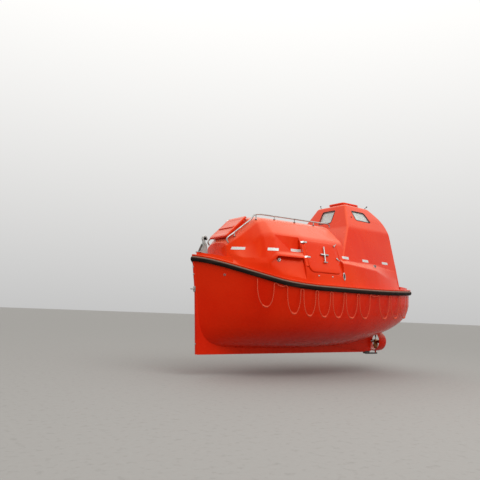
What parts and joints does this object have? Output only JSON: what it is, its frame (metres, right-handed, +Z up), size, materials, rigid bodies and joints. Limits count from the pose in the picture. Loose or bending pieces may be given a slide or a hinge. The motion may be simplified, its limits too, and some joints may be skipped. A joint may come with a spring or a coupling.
{
  "type": "totally enclosed lifeboat",
  "caption": "Davit-launched totally enclosed lifeboat: round-bilge hull with keel, gunwale fender, hollow canopy with conning tower, hatches, lifelines, release hooks, steering nozzle.",
  "frame": {"origin": "on the waterline amidships, on the centre plane, 0.65 m above the underside of the keel", "axes": "+X to the bow, +Y to port, +Z up"},
  "size_m": [5.016, 2.304, 2.9746],
  "materials": {
    "hull_gelcoat": "glossy orange-red gelcoat on glass-reinforced plastic",
    "canopy_gelcoat": "glossy orange-red gelcoat on glass-reinforced plastic",
    "fender_rubber": "matt black-brown rubber",
    "stainless": "satin stainless steel",
    "galvanised": "pale galvanised steel",
    "bronze": "cast propeller bronze",
    "window_plastic": "clear polycarbonate",
    "rope": "laid synthetic rope, orange",
    "cabin_plastic": "off-white moulded plastic",
    "dark_paint": "matt dark",
    "engine_paint": "grey-green engine enamel"
  },
  "bodies": {
    "boat": {"hull_shell": "hull_gelcoat", "gunwale_fender": "fender_rubber", "canopy_shell": "canopy_gelcoat", "door_hinge_port": "stainless", "door_hinge_starboard": "stainless", "fore_hatch_hinge": "stainless", "tower_hatch_hinge": "stainless", "aft_hatch_hinge": "stainless", "window_front": "window_plastic", "window_aft": "window_plastic", "window_port": "window_plastic", "window_starboard": "window_plastic", "heel_bracket": "dark_paint", "hook_stand_fore": "galvanised", "hook_stand_aft": "galvanised", "handrail_port": "stainless", "handrail_starboard": "stainless", "lifeline_port": "rope", "lifeline_starboard": "rope", "towing_eye": "stainless", "lamp_rod_fore": "dark_paint", "lamp_rod_aft": "dark_paint", "bench_port": "cabin_plastic", "bench_starboard": "cabin_plastic", "engine_block": "engine_paint", "helm_seat": "dark_paint", "helm_console": "cabin_plastic"},
    "port_door": {"side_door_port": "canopy_gelcoat", "door_handle_port": "stainless"},
    "starboard_door": {"side_door_starboard": "canopy_gelcoat", "door_handle_starboard": "stainless"},
    "fore_hatch": {"fore_hatch_lid": "canopy_gelcoat"},
    "tower_hatch": {"tower_hatch_lid": "canopy_gelcoat"},
    "aft_hatch": {"aft_hatch_lid": "canopy_gelcoat"},
    "nozzle": {"steering_nozzle": "hull_gelcoat", "nozzle_stock": "stainless"},
    "screw": {"propeller": "bronze", "propeller_shaft": "stainless"},
    "wheel": {"steering_wheel": "dark_paint"},
    "fore_hook": {"release_hook_fore": "stainless"},
    "aft_hook": {"release_hook_aft": "stainless"}
  },
  "joints": [
    {"name": "propeller_spin", "type": "hinge", "parent": "boat", "child": "screw", "pos_m": [-1.97, 0, -0.435], "axis": [1, 0, 0], "continuous": true},
    {"name": "nozzle_steer", "type": "hinge", "parent": "boat", "child": "nozzle", "pos_m": [-1.97, 0, -0.435], "axis": [0, 0, 1], "range_deg": [-35, 35]},
    {"name": "wheel_turn", "type": "hinge", "parent": "boat", "child": "wheel", "pos_m": [-0.69, 0, 1.15], "axis": [1, 0, 0], "range_deg": [-350, 350]},
    {"name": "port_door_swing", "type": "hinge", "parent": "boat", "child": "port_door", "pos_m": [0.836, 0.94481, 1.01886], "axis": [0, 0.3603, -0.9328], "range_deg": [0, 100]},
    {"name": "starboard_door_swing", "type": "hinge", "parent": "boat", "child": "starboard_door", "pos_m": [0.836, -0.94481, 1.01886], "axis": [0, 0.3603, 0.9328], "range_deg": [0, 100]},
    {"name": "fore_hatch_lift", "type": "hinge", "parent": "boat", "child": "fore_hatch", "pos_m": [1.5563, 0, 1.6422], "axis": [0, -1, 0], "range_deg": [0, 100]},
    {"name": "tower_hatch_lift", "type": "hinge", "parent": "boat", "child": "tower_hatch", "pos_m": [-1.199, 0, 2.2176], "axis": [0, -1, 0], "range_deg": [0, 100]},
    {"name": "aft_hatch_lift", "type": "hinge", "parent": "boat", "child": "aft_hatch", "pos_m": [-1.6885, 0, 1.424], "axis": [0, 1, 0], "range_deg": [0, 100]},
    {"name": "fore_hook_release", "type": "hinge", "parent": "boat", "child": "fore_hook", "pos_m": [2.23, 0, 1.118], "axis": [0, 1, 0], "range_deg": [0, 70]},
    {"name": "aft_hook_release", "type": "hinge", "parent": "boat", "child": "aft_hook", "pos_m": [-2.212, 0, 0.762], "axis": [0, 1, 0], "range_deg": [0, 70]}
  ],
  "couplings": [
    {"joint": "wheel_turn", "follows": "nozzle_steer", "ratio": 10}
  ]
}
